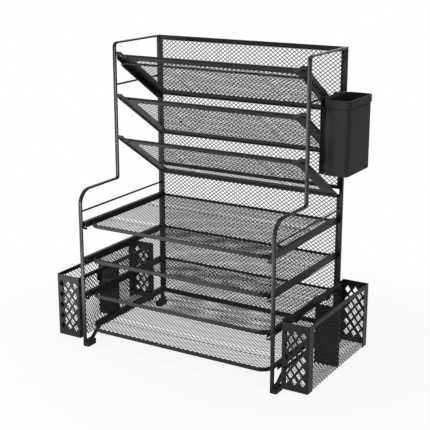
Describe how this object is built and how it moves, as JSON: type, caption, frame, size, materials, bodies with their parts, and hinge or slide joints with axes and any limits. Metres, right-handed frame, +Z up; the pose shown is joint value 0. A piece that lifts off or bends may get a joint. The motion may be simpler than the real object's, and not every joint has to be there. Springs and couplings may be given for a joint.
{
  "type": "mesh file sorter",
  "caption": "Free-standing black steel mesh desk file sorter with letter trays below, slanted file shelves above, hanging side pen holders and a hanging cup.",
  "frame": {"origin": "on the desk surface under the middle of the sorter's outer box", "axes": "+X to the sorter's right seen from the front, +Y towards the mesh back, +Z up"},
  "size_m": [0.4712, 0.24, 0.4984],
  "materials": {
    "coated_bar": "satin black powder coat on bent flat bar and wire",
    "coated_sheet": "satin black powder coat on folded sheet",
    "coated_mesh": "black powder coat on diamond steel mesh",
    "foot_plastic": "matt black moulded plastic"
  },
  "bodies": {
    "frame": {"left_frame": "coated_bar", "left_rungs": "coated_bar", "left_upper_post": "coated_bar", "left_lower_post": "coated_bar", "left_front_foot": "foot_plastic", "left_rear_foot": "foot_plastic", "right_frame": "coated_bar", "right_rungs": "coated_bar", "right_upper_post": "coated_bar", "right_lower_post": "coated_bar", "right_front_foot": "foot_plastic", "right_rear_foot": "foot_plastic", "lower_back_mesh": "coated_mesh", "lower_back_rim": "coated_sheet", "upper_back_mesh": "coated_mesh", "upper_back_rim": "coated_sheet", "tray_1_floor": "coated_mesh", "tray_1_band": "coated_sheet", "tray_1_rails": "coated_sheet", "tray_2_floor": "coated_mesh", "tray_2_band": "coated_sheet", "tray_2_rails": "coated_sheet", "tray_3_floor": "coated_mesh", "tray_3_band": "coated_sheet", "tray_3_rails": "coated_sheet", "tray_4_floor": "coated_mesh", "tray_4_band": "coated_sheet", "tray_4_rails": "coated_sheet", "left_tray_tabs": "coated_sheet", "right_tray_tabs": "coated_sheet", "shelf_1_mesh": "coated_mesh", "shelf_1_rim": "coated_sheet", "shelf_1_side_bars": "coated_sheet", "shelf_2_mesh": "coated_mesh", "shelf_2_rim": "coated_sheet", "shelf_2_side_bars": "coated_sheet", "shelf_3_mesh": "coated_mesh", "shelf_3_rim": "coated_sheet", "shelf_3_side_bars": "coated_sheet", "top_shelf_brace": "coated_bar"},
    "left_pen_holder": {"left_holder_front_wall": "coated_sheet", "left_holder_back_wall": "coated_sheet", "left_holder_outer_mesh": "coated_mesh", "left_holder_inner_mesh": "coated_mesh", "left_holder_outer_rim": "coated_sheet", "left_holder_inner_rim": "coated_sheet", "left_holder_floor": "coated_mesh", "left_holder_divider": "coated_sheet", "left_holder_hooks": "coated_sheet"},
    "right_pen_holder": {"right_holder_front_wall": "coated_sheet", "right_holder_back_wall": "coated_sheet", "right_holder_outer_mesh": "coated_mesh", "right_holder_inner_mesh": "coated_mesh", "right_holder_outer_rim": "coated_sheet", "right_holder_inner_rim": "coated_sheet", "right_holder_floor": "coated_mesh", "right_holder_divider": "coated_sheet", "right_holder_hooks": "coated_sheet"},
    "hanging_cup": {"cup_shell": "coated_sheet", "cup_hanger": "coated_sheet"}
  },
  "joints": [
    {"name": "left_holder_lift", "type": "slide", "parent": "frame", "child": "left_pen_holder", "axis": [0, 0, 1], "range_m": [0, 0.03]},
    {"name": "right_holder_lift", "type": "slide", "parent": "frame", "child": "right_pen_holder", "axis": [0, 0, 1], "range_m": [0, 0.03]},
    {"name": "cup_lift", "type": "slide", "parent": "frame", "child": "hanging_cup", "axis": [0, 0, 1], "range_m": [0, 0.03]}
  ]
}
